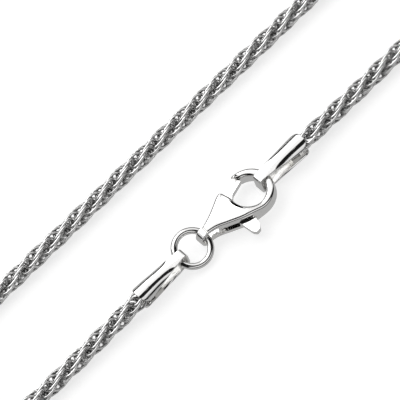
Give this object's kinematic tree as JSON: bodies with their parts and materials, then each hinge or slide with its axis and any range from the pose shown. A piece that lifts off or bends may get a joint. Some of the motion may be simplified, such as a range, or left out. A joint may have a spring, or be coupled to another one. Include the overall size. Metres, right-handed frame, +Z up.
{
  "type": "chain necklace",
  "caption": "Rope chain necklace laid flat and closed: twisted link chain, folded end caps, jump ring and trigger clasp.",
  "frame": {"origin": "on the surface the necklace lies on, under the middle of the box round the clasp, jump ring and both end caps", "axes": "+X along the fastened end of the chain from the jump ring to the hook, +Y towards the parallel run of chain, +Z up"},
  "size_m": [0.1036, 0.0269, 0.0046],
  "materials": {
    "silver_polished": "bright polished silver with rhodium plating",
    "silver_chain": "bright silver wire with faceted, diamond-cut crowns",
    "solder": "dull, slightly grainy silver solder",
    "spring_steel": "drawn spring wire"
  },
  "bodies": {
    "chain": {"ring_end_cap": "silver_polished", "ring_end_solder": "solder", "hook_end_cap": "silver_polished", "hook_end_solder": "solder", "rope_chain_coil": "silver_chain", "rope_chain_long_run": "silver_chain", "rope_chain_short_run": "silver_chain"},
    "ring": {"jump_ring": "silver_polished"},
    "clasp": {"clasp_front_shell": "silver_polished", "clasp_back_shell": "silver_polished", "trigger_pivot_pin": "spring_steel", "trigger_spring": "spring_steel"},
    "trigger": {"trigger_lever": "silver_polished"}
  },
  "joints": [
    {"name": "ring_swing", "type": "hinge", "parent": "chain", "child": "ring", "pos_m": [-0.00716, 0.0008, 0.00145], "axis": [0, -1, 0], "range_deg": [0, 10]},
    {"name": "clasp_swing", "type": "hinge", "parent": "ring", "child": "clasp", "pos_m": [-0.00276, 0.0008, 0.00145], "axis": [0, -1, 0], "range_deg": [-14.36, 0]},
    {"name": "trigger_press", "type": "hinge", "parent": "clasp", "child": "trigger", "pos_m": [0.00124, 0.00115, 0.00145], "axis": [0, 0, -1], "range_deg": [0, 28], "stiffness_Nm_per_rad": 0.0004, "springref_deg": -11.46}
  ],
  "couplings": [
    {"joint": "clasp_swing", "follows": "ring_swing", "ratio": -1.436}
  ]
}
